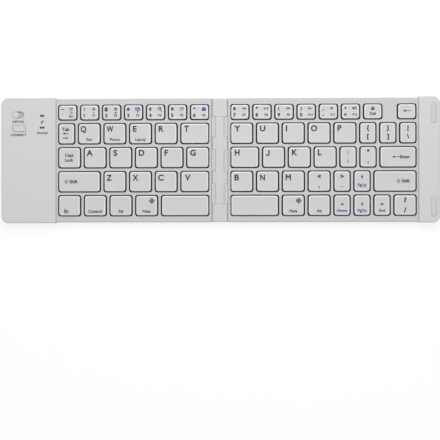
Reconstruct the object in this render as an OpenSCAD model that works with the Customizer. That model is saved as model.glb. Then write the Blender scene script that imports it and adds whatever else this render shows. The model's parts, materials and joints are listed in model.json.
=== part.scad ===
// Folding keyboard in two halves, joined by a spine with two parallel hinge axes.
// Millimetres. X runs along the rows of keys, Y from the user to the back, Z up.
// The origin is on the table, under the middle of the spine. The halves lie open, and each
// folds up through a quarter turn about its own hinge pin until the two sets of keys face.

/* [Keys] */
// Width of a letter key's well
letter_w = 15.45; // [14.5:0.05:17]
// Width of the wells of the tab, bracket and arrow keys
narrow_w = 11.6; // [10.5:0.1:13]
// Width of the wells of the wide letters beside the fold
wide_w = 19.4; // [17.5:0.1:22]
// Width of the right space bar's well
space_w = 32.3; // [28:0.1:34]
// Width of the wells of the bottom left modifiers
modifier_w = 15.5; // [14.5:0.1:17]
// Depth of a well, front to back
key_d = 14.2; // [13:0.1:16]
// Depth of a well in the number row
digit_d = 10.6; // [9.5:0.1:13]
// Strip of deck between two wells in a row
web = 1.45; // [1.2:0.05:2.5]
// Strip of deck between two rows
row_web = 1.6; // [1.2:0.05:2.5]
// Gap all round a key cap in its well
key_gap = 0.75; // [0.5:0.05:1]
// Corner radius of a well
well_r = 1.9; // [1.6:0.1:3]
// Radius of a key cap's top edge
cap_edge_r = 0.8; // [0.3:0.05:0.9]
// Wall of a key cap
cap_wall = 0.9; // [0.6:0.05:1.1]
// Height of a key cap above the deck
key_rise = 1.6; // [1.2:0.05:2]
// Travel of a key
key_travel = 1.4; // [1:0.05:1.8]

/* [Housings] */
// Length of the left raised end, which holds the battery and the board
left_wing_w = 36; // [34:0.5:60]
// Height of the raised ends above the deck
wing_rise = 2.4; // [2.2:0.05:4]
// Corner radius of the outline
corner_r = 4.6; // [4:0.1:7]
// Radius of the outer top edges
top_edge_r = 0.8; // [0.4:0.05:1]
// Radius of the outer bottom edges
bottom_edge_r = 1; // [0.4:0.05:1.2]
// How far the raised ends reach past the deck, in front and behind
wing_flare = 0.45; // [0:0.05:1]
// Deck beside the wells, at the spine and at the raised end
side_margin = 1.2; // [1.15:0.05:4]
// Deck in front of the wells and behind them
end_margin = 3.85; // [3.8:0.05:8]
// Side walls
wall = 1.5; // [1.4:0.05:2.5]
// Top wall of the raised ends
wing_top_t = 1.2; // [1:0.05:2]
// Thickness of the deck round the wells
deck_t = 1.15; // [1:0.05:2]
// Floor of the bottom cases
floor_t = 1.2; // [1:0.05:2]
// Height of the case walls above the floor, up to the parting line
case_wall_h = 1.4; // [1.2:0.05:1.6]
// Height of the lip that locates the covers
lip_h = 0.8; // [0.4:0.05:1]
// Thickness of the lip
lip_t = 0.6; // [0.4:0.05:0.7]

/* [Hinge] */
// Outer radius of a hinge knuckle
knuckle_r = 1.25; // [1.1:0.05:1.6]
// Radius of a hinge pin
pin_r = 0.5; // [0.4:0.05:0.7]
// Gap round a pin in the halves' knuckles
pin_clear = 0.05; // [0.02:0.01:0.1]
// Gap between the spine and the halves
spine_gap = 0.25; // [0.1:0.05:0.4]
// Gap round a half's knuckle in the spine
knuckle_gap = 0.1; // [0.08:0.02:0.3]
// Length of the middle knuckle of each half
mid_knuckle = 14; // [10:0.5:20]
// Length of the spine's knuckles on both sides of it
spine_knuckle = 8.4; // [6:0.2:11]
// Length of the outer knuckles of each half
outer_knuckle = 13.3; // [8:0.1:15]
// Depth of the cable channel in the spine
channel_h = 1.9; // [1.4:0.05:2.2]

/* [Inside] */
// Height of the floor ribs that carry the switch plate
rib_h = 0.4; // [0.3:0.05:0.8]
// Thickness of a floor rib
rib_t = 0.8; // [0.6:0.1:1.5]
// Thickness of the steel switch plate
plate_t = 0.4; // [0.3:0.05:0.6]
// Thickness of the switch membrane
membrane_t = 0.3; // [0.2:0.05:0.4]
// Thickness of the rubber sheet
sheet_t = 0.2; // [0.15:0.05:0.3]
// Radius of a rubber dome at its foot
dome_r = 2.8; // [2.2:0.1:3.2]
// Thickness of the circuit board
board_t = 0.8; // [0.6:0.05:1.2]
// Thickness of the battery
battery_t = 3.8; // [3:0.1:4.2]

/* [Controls] */
// Length of the power switch's slot
slot_l = 8; // [7:0.1:10]
// Width of the power switch's slot
slot_w = 4.6; // [4:0.1:5.5]
// Travel of the power switch's knob
knob_travel = 3; // [2:0.1:3.5]
// Length of the connect button
button_l = 8.6; // [7:0.1:11]
// Width of the connect button
button_w = 4.3; // [3.5:0.1:5.5]
// Travel of the connect button
button_travel = 0.4; // [0.3:0.05:0.5]
// Gap round the knob and the button
control_gap = 0.2; // [0.15:0.05:0.3]
// Radius of a status light
light_r = 0.8; // [0.5:0.05:1.2]

/* [Feet and fasteners] */
// Height of the cases above the table
foot_h = 0.8; // [0.5:0.05:2]
// Radius of a rubber foot
foot_r = 4; // [3:0.1:5]
// Depth of a foot's seat in the case
foot_seat = 0.3; // [0.2:0.05:0.5]
// Radius of a screw's thread
screw_r = 0.5; // [0.4:0.05:0.6]
// Radius of a screw's head
head_r = 1; // [0.8:0.05:1.1]
// Radius of a screw boss
boss_r = 1.3; // [1.1:0.05:1.4]
// Width of an end bumper
bumper_w = 3.6; // [2.5:0.1:4]
// Length of an end bumper
bumper_l = 13.4; // [8:0.2:18]
// Height of the bumpers above the right raised end
bumper_h = 0.5; // [0.3:0.05:0.8]

/* [Hidden] */
$fn = 40;
eps = 0.01;   // overshoot of a cut past the face that it opens
seat = 0.05;  // gap between two pieces that are fastened together
rest = 0;     // width of the key that takes what its row has left

// Heights, from the table up
z_case = foot_h;
z_floor = z_case + floor_t;
z_part = z_floor + case_wall_h;
z_plate = z_floor + rib_h;
z_membrane = z_plate + plate_t;
z_sheet = z_membrane + membrane_t;
z_dome = z_sheet + sheet_t;
dome_top = z_dome + key_travel;
stem_z = dome_top + seat;
z_deck = stem_z + 2 * seat;
deck_top = z_deck + deck_t;
key_top = deck_top + key_rise;
wing_top = deck_top + wing_rise;

// The hinge. Folded, the raised ends face each other over the bumpers and fold_clear.
fold_clear = 0.2;
spine_inset = 0.2;  // how far the spine's ends stand back from the halves' front and back
pin_inset = 1.3;    // from the spine's ends to the pins
bore_clear = 0.01;  // gap round a pin in the spine, where it is held
knuckle_edge_r = 0.25;  // rounding of a knuckle's inner top edge
knuckle_swing = sqrt(2) * (knuckle_r - knuckle_edge_r) + knuckle_edge_r;
axis_x = knuckle_r + wing_rise + (bumper_h + fold_clear) / 2;
axis_z = deck_top - knuckle_r;
spine_half_w = axis_x + knuckle_r;
edge_x = spine_half_w + spine_gap;

// The key fields, across both rows' wells
left_field = narrow_w + 4 * letter_w + wide_w + 5 * web;
right_field = 5 * letter_w + 3 * narrow_w + 7 * web;
digit_w = round(100 * (left_field - 6 * web) / 7) / 100;
field_d = digit_d + 4 * key_d + 4 * row_web;
body_d = field_d + 2 * end_margin;
spine_d = body_d - 2 * spine_inset;

// Both halves are equally long, so their outer ends meet when they are folded
half_l = left_wing_w + left_field + 2 * side_margin;
end_x = edge_x + half_l;
left_deck_x = edge_x + left_field + 2 * side_margin;
right_deck_x = edge_x + right_field + 2 * side_margin;

// Rows of [name, well width], back to front and left to right. "" is a plain stretch of deck.
left_rows = [
    [for (n = ["grave", "1", "2", "3", "4", "5"]) [n, digit_w], ["6", rest]],
    [["tab", narrow_w], for (n = ["q", "w", "e", "r"]) [n, letter_w], ["t", rest]],
    [for (n = ["caps_lock", "a", "s", "d", "f"]) [n, letter_w], ["g", rest]],
    [["left_shift", rest], for (n = ["z", "x", "c"]) [n, letter_w], ["v", wide_w]],
    [for (n = ["fn", "control", "left_alt", "left_meta"]) [n, modifier_w], ["left_space", rest]]
];
right_rows = [
    [for (n = ["7", "8", "9", "0", "minus", "equals", "delete"]) [n, digit_w],
        ["", rest], ["backspace", digit_w]],
    [for (n = ["y", "u", "i", "o", "p"]) [n, letter_w],
        for (n = ["left_bracket", "right_bracket"]) [n, narrow_w], ["backslash", rest]],
    [["h", wide_w], for (n = ["j", "k", "l"]) [n, letter_w],
        for (n = ["semicolon", "quote"]) [n, narrow_w], ["enter", rest]],
    [for (n = ["b", "n", "m", "comma"]) [n, letter_w],
        for (n = ["period", "up"]) [n, narrow_w], ["right_shift", rest]],
    [["right_space", space_w], for (n = ["right_meta", "right_alt"]) [n, letter_w],
        for (n = ["left", "down", "right"]) [n, narrow_w], ["slash", rest]]
];

function sum(v, n) = n == 0 ? 0 : v[n - 1] + sum(v, n - 1);
function taken(row) = sum([for (k = row) k[1]], len(row)) + (len(row) - 1) * web;
function widths(row, field) = [for (k = row) k[1] == rest ? field - taken(row) : k[1]];
function row_d(r) = r == 0 ? digit_d : key_d;
function row_y(r) = field_d / 2 - sum([for (i = [0:4]) row_d(i) + row_web], r) - row_d(r) / 2;

// A half's keys as [name, x and y of the middle, well width, well depth]
function keys_of(rows, x0, field) = [
    for (r = [0:4]) let (w = widths(rows[r], field))
        for (i = [0:len(w) - 1]) if (rows[r][i][0] != "")
            [rows[r][i][0], x0 + sum(w, i) + i * web + w[i] / 2, row_y(r), w[i], row_d(r)]
];
left_keys = keys_of(left_rows, -edge_x - side_margin - left_field, left_field);
right_keys = keys_of(right_rows, edge_x + side_margin, right_field);
all_keys = concat(left_keys, right_keys);

// The keys of the nodes that hold more than one key
left_number_names = [for (k = left_rows[0]) k[0]];
right_number_names = [for (k = right_rows[0]) k[0]];
left_modifier_names = ["tab", "caps_lock", "left_shift", "fn", "control", "left_alt", "left_meta"];
right_side_names = ["left_bracket", "right_bracket", "backslash", "semicolon", "quote", "comma",
    "period", "up", "right_shift", "right_meta", "right_alt", "left", "down", "right", "slash"];
single_names = [for (k = all_keys) if (!among(k[0], concat(left_number_names, right_number_names,
    left_modifier_names, right_side_names))) k[0]];
function among(name, names) = len([for (n = names) if (n == name) n]) > 0;

// Screws: one row along the front and one along the back of each half, whose bosses just run
// into the walls, and two in each raised end
boss_overlap = 0.3;
screw_y = body_d / 2 - wall - boss_r + boss_overlap;
screws_from_deck_end = 6;
wing_screw_inset = wall + boss_r + 2;
stub_h = 0.9;       // height of the case's bosses above its floor
boss_z = z_floor + stub_h;
head_recess = 0.15;
head_h = 0.7;
screw_clear = 0.1;
thread_top = z_deck - 0.65;
hole_spare = 0.4;   // how far a thread's hole runs past its screw

// Feet, one near each corner of each half
foot_inset = 9;
foot_edge = 0.4;    // height and depth of the bevel round a foot's sole

// Places of the controls, from the left half's outer back corner
slot_x = -end_x + 11.2;
slot_y = body_d / 2 - 10.8;
button_x = -end_x + 11.8;
button_y = body_d / 2 - 19.6;
light_x = -end_x + 27.2;
light_y = [for (d = [11.6, 15.6, 19.4]) body_d / 2 - d];

// The board, the battery and the socket in the left raised end, between its screw bosses
room_clear = 0.4;
room_x0 = -end_x + wall + lip_t + room_clear;
room_l = left_wing_w - 2 * wall - lip_t - 2.5 * room_clear;
room_y = body_d / 2 - wing_screw_inset - boss_r - room_clear;
board_d = 28;
board_top = z_part + board_t;
post_r = 1.2;
post_inset = 3;
battery_d = 34;
battery_r = 1.5;
pouch_edge_r = 1;
seal_d = 3;
seal_t = 1.2;
component_h = 1.3;  // height of the switches on the board
chip_h = 0.9;
lamp_h = 0.6;
socket_l = 5.4;
socket_w = 7.6;
socket_h = 2.6;
socket_wall = 0.35;
socket_inset = 0.4;
socket_room = 0.5;  // gap round the socket in the side walls
tongue_l = 3.8;
tongue_w = 3.6;
tongue_t = 0.6;
socket_y = room_y - board_d + 5;

// Knob and button: a cap in the cover's hole, and a flange under the cover that holds it in
flange_t = 0.6;
flange_rim = 0.8;   // how far a flange reaches past its cap
knob_l = slot_l - 2 * control_gap - knob_travel;
knob_rise = 0.3;
knob_stem_r = 0.9;
button_rise = 0.35;
button_stem_r = 1.2;
button_r = 1;
wing_under = wing_top - wing_top_t;
flange_z = wing_under - flange_t - seat;

// Bumpers, let into the top of the right raised end
bumper_inset = 2.3;
bumper_from_back = 3.4;
bumper_seat = 0.4;
bumper_y = body_d / 2 - bumper_from_back - bumper_l / 2;
bumper_x = end_x - bumper_inset - bumper_w / 2;

// The flat pieces under the keys
plate_clear = 0.3;
sheet_inset = 0.5;  // how far the membrane and the rubber sheet stand back from the walls
window_w = 1.2;     // windows in the switch plate, for the clips of a key's guide
window_d = 4;
window_x = 4;
dome_taper = 1.1;
dome_wall = 0.7;
dome_roof = 0.5;
stem_r = 1.2;
rib_inset = 1;      // from the walls to the ribs that run along X
cross_ribs = 5;
cross_rib_inset = 6;

// The cable between the halves and its way through the walls and the spine
cable_w = 11;
cable_t = 0.15;
cable_room = 0.5;   // gap beside the cable
cable_wave = 0.25;
channel_wall = 1.4;
channel_x = spine_half_w - channel_wall;
groove_y = mid_knuckle / 2 + spine_knuckle + outer_knuckle;
groove_w = 0.3;
groove_depth = 0.25;
spine_cover_t = 0.7;

// ---- Shapes that several pieces share ----

// A rectangle with round corners, centred
module round_rect(w, d, r) {
    square([w - 2 * r, d], center = true);
    square([w, d - 2 * r], center = true);
    for (sx = [-1, 1], sy = [-1, 1]) translate([sx * (w / 2 - r), sy * (d / 2 - r)]) circle(r);
}

// An edge's section: r deep and z0 to z1 high, its outer side rounded by top_f and bottom_f
module edge_section(r, z0, z1, top_f, bottom_f) {
    difference() {
        translate([0, z0]) square([r, z1 - z0]);
        if (top_f > 0) translate([r - top_f, z1 - top_f]) difference() {
            square(top_f + 1);
            circle(top_f);
        }
        if (bottom_f > 0) translate([r - bottom_f, z0 + bottom_f]) difference() {
            translate([0, -bottom_f - 1]) square(bottom_f + 1);
            circle(bottom_f);
        }
    }
}

// The child section, drawn from x = 0 to r, carried round a rectangle w by d with corners of radius r
module swept_block(w, d, r, z0, z1) {
    translate([-w / 2 + r, -d / 2 + r, z0]) cube([w - 2 * r, d - 2 * r, z1 - z0]);
    for (s = [0, 1]) {
        mirror([s, 0, 0]) translate([w / 2 - r, d / 2 - r, 0])
            rotate([90, 0, 0]) linear_extrude(d - 2 * r) children();
        mirror([0, s, 0]) translate([-w / 2 + r, d / 2 - r, 0])
            rotate([90, 0, 90]) linear_extrude(w - 2 * r) children();
        for (t = [0, 1]) mirror([s, 0, 0]) mirror([0, t, 0]) translate([w / 2 - r, d / 2 - r, 0])
            rotate_extrude(angle = 90) children();
    }
}

// The same section round the outer end of a half, from a flat face at x0 to the end at x1
module swept_end(x0, x1, d, r, z0, z1) {
    translate([x0, -d / 2 + r, z0]) cube([x1 - r - x0, d - 2 * r, z1 - z0]);
    translate([x1 - r, d / 2 - r, 0]) rotate([90, 0, 0]) linear_extrude(d - 2 * r) children();
    for (s = [0, 1]) mirror([0, s, 0]) {
        translate([x0, d / 2 - r, 0]) rotate([90, 0, 90]) linear_extrude(x1 - r - x0) children();
        translate([x1 - r, d / 2 - r, 0]) rotate_extrude(angle = 90) children();
    }
}

// A plain cavity or ring of the same outline, inset by i
module end_room(x0, x1, i, z0, z1) {
    r = max(corner_r - i, 0.5);
    y = body_d / 2 - i;
    translate([0, 0, z0]) linear_extrude(z1 - z0) {
        translate([x0, -y]) square([x1 - i - r - x0, 2 * y]);
        translate([x0, -y + r]) square([x1 - i - x0, 2 * y - 2 * r]);
        for (s = [-1, 1]) translate([x1 - i - r, s * (y - r)]) circle(r);
    }
}

// What rounds off the top edge of a step that faces the spine at x
module step_round(x, z, f) {
    translate([x, body_d, z]) rotate([90, 0, 0]) linear_extrude(2 * body_d) difference() {
        translate([-1, -f]) square([f + 1, f + 1]);
        translate([f, -f]) circle(f);
    }
}

// ---- Screws and feet, placed on the +X half ----

// Screw places along a deck that ends at deck_x, three in front and three behind
function deck_screws(deck_x) = [
    for (x = [edge_x + screws_from_deck_end, (edge_x + deck_x) / 2, deck_x - screws_from_deck_end],
        s = [-1, 1]) [x, s * screw_y]
];
wing_screws = [for (s = [-1, 1]) [end_x - wing_screw_inset, s * (body_d / 2 - wing_screw_inset)]];
function foot_places(s) = [
    for (x = [edge_x + foot_inset, end_x - foot_inset], y = [-1, 1])
        [s * x, y * (body_d / 2 - foot_inset)]
];

// A boss that hangs from a cover, with a blind hole for the thread
module cover_bosses(places, z1) {
    for (p = places) translate([p[0], p[1], boss_z + seat]) cylinder(r = boss_r, h = z1 - boss_z);
}

module thread_holes(places) {
    for (p = places) translate([p[0], p[1], boss_z - eps])
        cylinder(r = screw_r + seat, h = thread_top + hole_spare - boss_z);
}

module screw(x, y) {
    translate([x, y, z_case + head_recess]) {
        cylinder(r = head_r, h = head_h);
        cylinder(r = screw_r, h = thread_top - z_case - head_recess);
    }
}

// ---- The halves, drawn on the +X side ----

// Bottom case: floor, walls with a locating lip, screw bosses, ribs and seats for the feet
module bottom_case(deck_x) {
    places = concat(deck_screws(deck_x), wing_screws);
    difference() {
        union() {
            difference() {
                swept_end(edge_x, end_x, body_d, corner_r, z_case, z_part)
                    edge_section(corner_r, z_case, z_part, 0, bottom_edge_r);
                end_room(edge_x + wall, end_x, wall, z_floor, z_part + eps);
            }
            difference() {
                end_room(edge_x + wall - lip_t, end_x, wall - lip_t, z_part - lip_h, z_part + lip_h);
                end_room(edge_x + wall, end_x, wall, z_floor, z_part + lip_h + eps);
                // The lip stops short where the cover's step wall and the deck's edge meet
                translate([deck_x - wall, -body_d / 2, z_part]) cube([3 * wall, body_d, lip_h + eps]);
            }
            for (p = places) translate([p[0], p[1], z_floor - eps])
                cylinder(r = boss_r, h = stub_h + eps);
            floor_ribs(edge_x + wall, deck_x - wall);
        }
        for (p = places) translate([p[0], p[1], z_case - eps]) {
            cylinder(r = head_r + screw_clear, h = head_recess + head_h + eps);
            cylinder(r = screw_r + screw_clear, h = z_part - z_case);
            translate([0, 0, boss_z - z_case + eps]) cylinder(r = boss_r + 2 * seat, h = 2 * lip_h);
        }
        for (p = foot_places(1)) translate([p[0], p[1], z_case - eps])
            cylinder(r = foot_r + seat, h = foot_seat + eps);
        // Way through for the cable between the halves
        translate([edge_x - eps, -cable_w / 2 - cable_room, z_floor])
            cube([wall + 2 * eps, cable_w + 2 * cable_room, z_dome - z_floor]);
    }
}

// Ribs under the switch plate: one between every two rows of keys, and some across them
module floor_ribs(x0, x1) {
    step = (x1 - x0 - 2 * cross_rib_inset) / (cross_ribs - 1);
    for (r = [0:3])
        translate([x0 + rib_inset, row_y(r) - (row_d(r) + row_web + rib_t) / 2, z_floor - eps])
            cube([x1 - x0 - 2 * rib_inset, rib_t, rib_h + eps]);
    for (i = [0:cross_ribs - 1])
        translate([x0 + cross_rib_inset + i * step - rib_t / 2, -field_d / 2 + rib_inset, z_floor - eps])
            cube([rib_t, field_d - 2 * rib_inset, rib_h + eps]);
}

// Key deck: the top sheet with its wells, its walls and the half's three hinge knuckles
module key_deck(keys, deck_x) {
    places = deck_screws(deck_x);
    inner_d = body_d / 2 - wall;
    difference() {
        union() {
            difference() {
                union() {
                    translate([edge_x, 0, 0]) rotate([90, 0, 90])
                        linear_extrude(deck_x - seat - edge_x) for (s = [0, 1]) mirror([s, 0])
                            edge_section(body_d / 2, z_part, deck_top, top_edge_r, 0);
                    for (y = [-1, 0, 1]) panel_knuckle(y);
                }
                translate([edge_x + wall, -inner_d, z_part - eps])
                    cube([deck_x - edge_x, 2 * inner_d, z_deck - z_part + eps]);
                translate([edge_x + wall - lip_t - seat, -inner_d - lip_t - seat, z_part - eps])
                    cube([deck_x - edge_x, 2 * (inner_d + lip_t + seat), lip_h + 2 * seat]);
            }
            cover_bosses(places, z_deck);
        }
        for (k = keys) translate([k[1], k[2], z_deck - 1]) linear_extrude(deck_t + 2)
            round_rect(k[3], k[4], well_r);
        thread_holes(places);
        translate([axis_x, -body_d / 2, axis_z]) rotate([-90, 0, 0])
            cylinder(r = pin_r + pin_clear, h = body_d);
        // Groove in the knuckles, which carries the gap beside the spine on
        translate([edge_x - spine_gap, -body_d / 2, deck_top - groove_depth])
            cube([spine_gap, body_d, 1]);
    }
}

// Middle and length of the half's knuckle number i, from -1 to 1
function knuckle_l(i) = i == 0 ? mid_knuckle : outer_knuckle;
function knuckle_y(i) = i * (mid_knuckle / 2 + spine_knuckle + outer_knuckle / 2);

// A knuckle is round below and flush with the spine's top above
module panel_knuckle(i) {
    l = knuckle_l(i) - knuckle_gap;
    translate([axis_x, knuckle_y(i) + l / 2, axis_z]) rotate([90, 0, 0]) linear_extrude(l) {
        circle(knuckle_r);
        mirror([1, 0]) edge_section(knuckle_r, 0, knuckle_r, knuckle_edge_r, 0);
        translate([0, -knuckle_r]) square([edge_x - axis_x + wall, 2 * knuckle_r]);
    }
}

// Raised end: a shell with a rounded step towards the keys
module wing_cover(deck_x) {
    difference() {
        union() {
            difference() {
                swept_end(deck_x, end_x, body_d + 2 * wing_flare, corner_r, z_part, wing_top)
                    edge_section(corner_r, z_part, wing_top, top_edge_r, 0);
                step_round(deck_x, wing_top, top_edge_r);
                end_room(deck_x + wall, end_x, wall, z_part - eps, wing_under);
                end_room(deck_x + wall - lip_t, end_x, wall - lip_t - seat, z_part - eps,
                    z_part + lip_h + seat);
            }
            cover_bosses(wing_screws, wing_under);
        }
        thread_holes(wing_screws);
    }
}

// Steel plate under a half's keys, with a pair of windows beneath each one
module switch_plate(keys, x0, x1) {
    difference() {
        translate([x0, -field_d / 2, z_plate]) cube([x1 - x0, field_d, plate_t]);
        for (k = keys, s = [-1, 1])
            translate([k[1] + s * window_x - window_w / 2, k[2] - window_d / 2, z_plate - eps])
                cube([window_w, window_d, plate_t + 2 * eps]);
    }
}

// Membrane with its tail, which runs to the board or to the cable
module membrane(x0, x1, tail_x0, tail_x1, tail_y) {
    translate([x0, -field_d / 2 + sheet_inset, z_membrane])
        cube([x1 - x0, field_d - 2 * sheet_inset, membrane_t]);
    translate([tail_x0, tail_y - cable_w / 2, z_membrane])
        cube([tail_x1 - tail_x0, cable_w, membrane_t]);
}

// Rubber sheet with a hollow dome under the middle of each key
module rubber_domes(keys, x0, x1) {
    rim = dome_r - dome_wall;
    difference() {
        union() {
            translate([x0, -field_d / 2 + sheet_inset, z_sheet])
                cube([x1 - x0, field_d - 2 * sheet_inset, sheet_t]);
            for (k = keys) translate([k[1], k[2], z_sheet])
                cylinder(r1 = dome_r, r2 = dome_r - dome_taper, h = dome_top - z_sheet);
        }
        for (k = keys) translate([k[1], k[2], z_sheet - eps])
            cylinder(r1 = rim, r2 = rim - dome_taper, h = dome_top - dome_roof - z_sheet);
    }
}

module feet(s) {
    for (p = foot_places(s)) translate([p[0], p[1], 0]) {
        cylinder(r1 = foot_r - foot_edge, r2 = foot_r, h = foot_edge);
        translate([0, 0, foot_edge]) cylinder(r = foot_r, h = z_case + foot_seat - foot_edge);
    }
}

// ---- Key caps ----

// A key cap: a hollow shell with a rounded top edge and a stem over its dome. Its outside is
// where three profiles cross: the outline from above, and the rounded ones from both sides.
module key_cap(w, d) {
    r = well_r - key_gap / 2;
    difference() {
        intersection() {
            translate([0, 0, z_deck]) linear_extrude(key_top - z_deck) round_rect(w, d, r);
            translate([-w, 0, 0]) rotate([90, 0, 90]) linear_extrude(2 * w) cap_side(d);
            translate([0, d, 0]) rotate([90, 0, 0]) linear_extrude(2 * d) cap_side(w);
        }
        translate([0, 0, z_deck - eps]) linear_extrude(key_top - cap_wall - z_deck + eps)
            round_rect(w - 2 * cap_wall, d - 2 * cap_wall, max(r - cap_wall, 0.3));
    }
    translate([0, 0, stem_z]) cylinder(r = stem_r, h = key_top - cap_wall / 2 - stem_z);
}

// A cap's side view, w wide
module cap_side(w) {
    for (s = [0, 1]) mirror([s, 0]) edge_section(w / 2, z_deck - 1, key_top, cap_edge_r, 0);
}

module key_caps(names) {
    for (k = all_keys) if (among(k[0], names))
        translate([k[1], k[2], 0]) key_cap(k[3] - 2 * key_gap, k[4] - 2 * key_gap);
}

module single_key(name) { color("gainsboro") key_caps([name]); }
module left_number_keys() { color("gainsboro") key_caps(left_number_names); }
module left_modifier_keys() { color("gainsboro") key_caps(left_modifier_names); }
module right_number_keys() { color("gainsboro") key_caps(right_number_names); }
module right_side_keys() { color("gainsboro") key_caps(right_side_names); }

// ---- Left half ----

module left_wing_cover() {
    color("lightgray") difference() {
        mirror([1, 0, 0]) wing_cover(left_deck_x);
        translate([slot_x, slot_y, wing_under - 1]) linear_extrude(wing_top_t + 2)
            round_rect(slot_l, slot_w, slot_w / 2 - eps);
        translate([button_x, button_y, wing_under - 1]) linear_extrude(wing_top_t + 2)
            round_rect(button_l + 2 * control_gap, button_w + 2 * control_gap,
                button_r + control_gap);
        for (y = light_y) translate([light_x, y, wing_under - 1])
            cylinder(r = light_r + seat, h = wing_top_t + 2);
        socket_cut();
    }
}

// The socket's way through the side walls
module socket_cut() {
    translate([-end_x - 1, socket_y - socket_w / 2 - socket_room, board_top - socket_room])
        cube([wall + 2, socket_w + 2 * socket_room, socket_h + 2 * socket_room]);
}

module left_key_deck() {
    color("silver") mirror([1, 0, 0])
        key_deck([for (k = left_keys) [k[0], -k[1], k[2], k[3], k[4]]], left_deck_x);
}

module left_bottom_case() {
    color("lightgray") {
        difference() {
            mirror([1, 0, 0]) bottom_case(left_deck_x);
            socket_cut();
        }
        for (p = board_posts) translate([p[0], p[1], z_floor - eps])
            cylinder(r = post_r, h = z_part - z_floor + eps);
    }
}

module left_switch_plate() {
    color("darkgray")
        switch_plate(left_keys, -left_deck_x + plate_clear, -edge_x - wall - plate_clear);
}

module left_membrane() {
    color("dimgray") membrane(-left_deck_x + sheet_inset, -edge_x - wall - sheet_inset,
        room_x0 + room_l - 6, -left_deck_x + 1, room_y - board_d / 2);
}

module left_rubber_domes() {
    color("gray")
        rubber_domes(left_keys, -left_deck_x + sheet_inset, -edge_x - wall - sheet_inset);
}

module left_feet() { color("dimgray") feet(-1); }

module left_screws() {
    color("silver") for (p = concat(deck_screws(left_deck_x), wing_screws)) screw(-p[0], p[1]);
}

// ---- Electronics in the left raised end ----

board_posts = [
    for (x = [post_inset, room_l - post_inset], y = [post_inset, board_d - post_inset])
        [room_x0 + x, room_y - y]
];

module battery() {
    z0 = z_floor + seat;
    color("silver") translate([room_x0 + room_l / 2, -room_y + battery_d / 2, 0]) {
        swept_block(room_l, battery_d, battery_r, z0, z0 + battery_t)
            edge_section(battery_r, z0, z0 + battery_t, pouch_edge_r, pouch_edge_r);
        // Folded top seal of the pouch, with the protection board in it
        translate([-room_l / 2 + battery_r, battery_d / 2 - eps, z0 + seal_t / 2])
            cube([room_l - 2 * battery_r, seal_d, seal_t]);
    }
}

module main_board() {
    color("darkgreen") {
        translate([room_x0, room_y - board_d, z_part]) cube([room_l, board_d, board_t]);
        // Slide switch, push switch, radio module, controller and one lamp under each light
        on_board(slot_x, slot_y, [8, 3.6, component_h]);
        on_board(button_x, button_y, [4, 4, component_h]);
        on_board(light_x - 1, room_y - board_d + 5.5, [9, 7, chip_h]);
        on_board(button_x + 9.5, button_y - 0.5, [5, 5, chip_h]);
        for (y = light_y) on_board(light_x, y, [1.6, 1.2, lamp_h]);
    }
}

// A component of the given size, centred on the board at x, y
module on_board(x, y, size) {
    translate([x - size[0] / 2, y - size[1] / 2, board_top - eps])
        cube([size[0], size[1], size[2] + eps]);
}

// Charging socket: a thin metal mouth with a tongue in it
module usb_socket() {
    x0 = -end_x + socket_inset;
    mouth_l = socket_l - 3 * socket_wall;
    color("silver") difference() {
        translate([x0, socket_y - socket_w / 2, board_top]) cube([socket_l, socket_w, socket_h]);
        difference() {
            translate([x0 - eps, socket_y - socket_w / 2 + socket_wall, board_top + socket_wall])
                cube([mouth_l, socket_w - 2 * socket_wall, socket_h - 2 * socket_wall]);
            translate([x0 + mouth_l - tongue_l, socket_y - tongue_w / 2,
                board_top + (socket_h - tongue_t) / 2]) cube([socket_l, tongue_w, tongue_t]);
        }
    }
}

module status_lights() {
    z0 = board_top + lamp_h + seat;
    color("white") for (y = light_y) translate([light_x, y, z0])
        cylinder(r = light_r, h = wing_top - z0);
}

// Knob of the power switch, at its OFF end. Its flange covers the slot at both ends.
module power_switch_knob() {
    stem_z0 = board_top + component_h + seat;
    color("gainsboro") translate([slot_x - slot_l / 2 + control_gap + knob_l / 2, slot_y, 0]) {
        translate([0, 0, flange_z]) linear_extrude(wing_top + knob_rise - flange_z)
            round_rect(knob_l, slot_w - 2 * control_gap, slot_w / 2 - control_gap - eps);
        flange(2 * (slot_l - control_gap) - knob_l, slot_w - 2 * control_gap);
        translate([0, 0, stem_z0]) cylinder(r = knob_stem_r, h = flange_z + eps - stem_z0);
    }
}

// Connect button, which rests on its stem over the push switch
module connect_button() {
    stem_z0 = board_top + component_h + button_travel + seat;
    color("gainsboro") translate([button_x, button_y, 0]) {
        swept_block(button_l, button_w, button_r, flange_z, wing_top + button_rise)
            edge_section(button_r, flange_z, wing_top + button_rise, button_r / 2, 0);
        flange(button_l, button_w);
        translate([0, 0, stem_z0]) cylinder(r = button_stem_r, h = flange_z + eps - stem_z0);
    }
}

// Rim under the cover that holds in a cap w by d
module flange(w, d) {
    translate([0, 0, flange_z]) linear_extrude(flange_t)
        round_rect(w + 2 * flange_rim, d + 2 * flange_rim, 1);
}

// ---- Spine ----

// The spine's cross-section: flat top, quarter rounds about both hinge axes, square foot
module spine_section() {
    translate([-spine_half_w, z_case]) square([2 * spine_half_w, axis_z - z_case]);
    translate([-axis_x, axis_z - eps]) square([2 * axis_x, knuckle_r + eps]);
    for (s = [-1, 1]) translate([s * axis_x, axis_z]) circle(knuckle_r);
}

// Room for a half's knuckle and its arm through the whole fold: out to the side and upwards,
// and inwards as far as the knuckle's top edge swings
module knuckle_room() {
    r = knuckle_r + knuckle_gap;
    intersection() {
        circle(knuckle_swing + knuckle_gap);
        translate([-2 * r, -r]) square([4 * r, 3 * r]);
    }
    translate([0, -r]) square([3 * r, 2 * r]);
    translate([-r, 0]) square(2 * r);
}

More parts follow.
